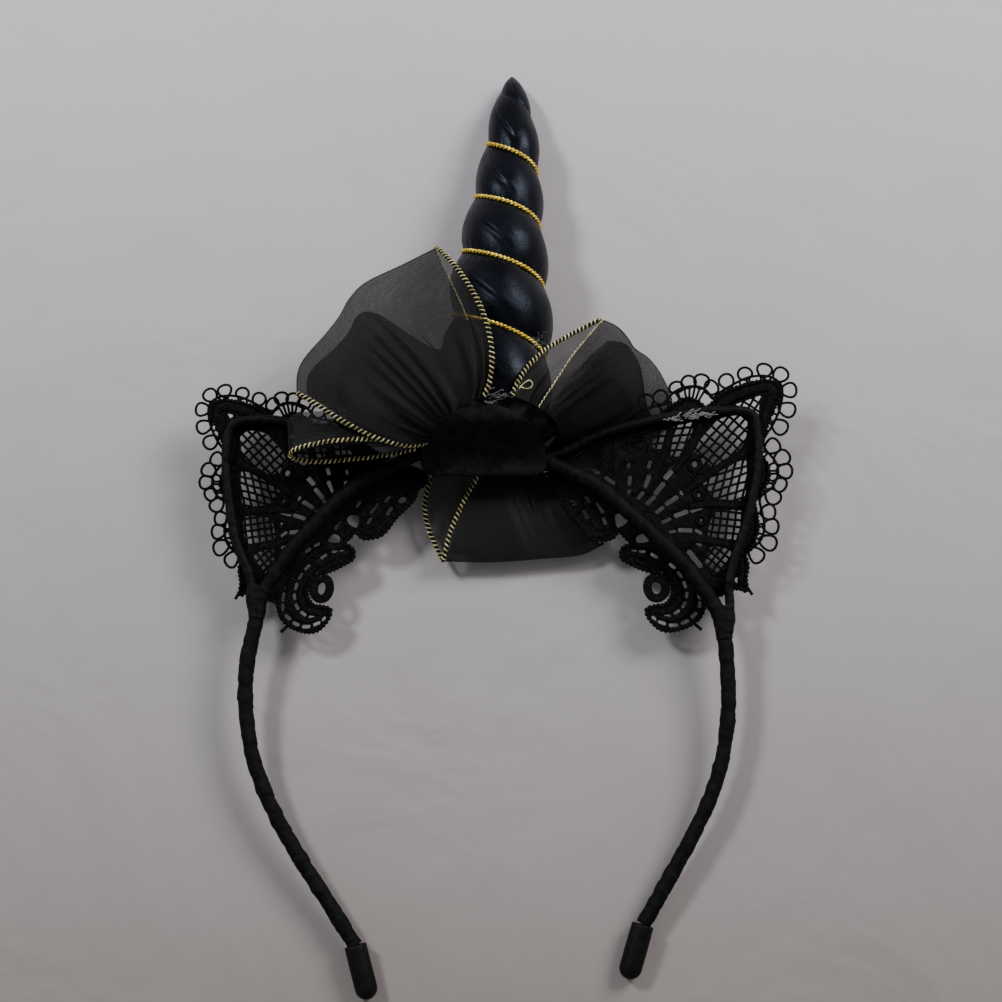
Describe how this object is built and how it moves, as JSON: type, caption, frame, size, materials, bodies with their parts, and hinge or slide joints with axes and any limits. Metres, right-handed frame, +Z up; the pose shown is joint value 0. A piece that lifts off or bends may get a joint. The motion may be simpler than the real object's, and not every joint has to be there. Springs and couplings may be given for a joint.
{
  "type": "unicorn horn headband",
  "caption": "Unicorn horn headband lying on its front: a stuffed spiral horn with a wound cord, a gathered ribbon bow, lace ears on wire frames and a wound wire band with tip caps.",
  "frame": {"origin": "on the surface that the headband lies on, in the middle of the flat that the stuffed horn has there", "axes": "+Y towards the horn's tip, +Z up from the surface; the band's arms run back to -Y"},
  "size_m": [0.1627, 0.2691, 0.0419],
  "materials": {
    "wound_wire": "wire wound with black satin tape",
    "cap_rubber": "matte",
    "lace": "corded guipure lace",
    "horn_skin": "smooth coated cloth with a soft bluish sheen",
    "gold_cord": "twisted metallic thread",
    "organza": "sheer plain weave with a gold stitched edge",
    "felt": "napped felt"
  },
  "bodies": {
    "root": {"headband": "wound_wire", "left_tip_cap": "cap_rubber", "right_tip_cap": "cap_rubber", "left_ear_wire": "wound_wire", "right_ear_wire": "wound_wire", "left_ear_lace": "lace", "right_ear_lace": "lace", "horn": "horn_skin", "horn_cord": "gold_cord", "upper_bow_loop": "organza", "left_bow_loop": "organza", "right_bow_loop": "organza", "lower_bow_loop": "organza", "felt_pad": "felt"}
  },
  "joints": []
}
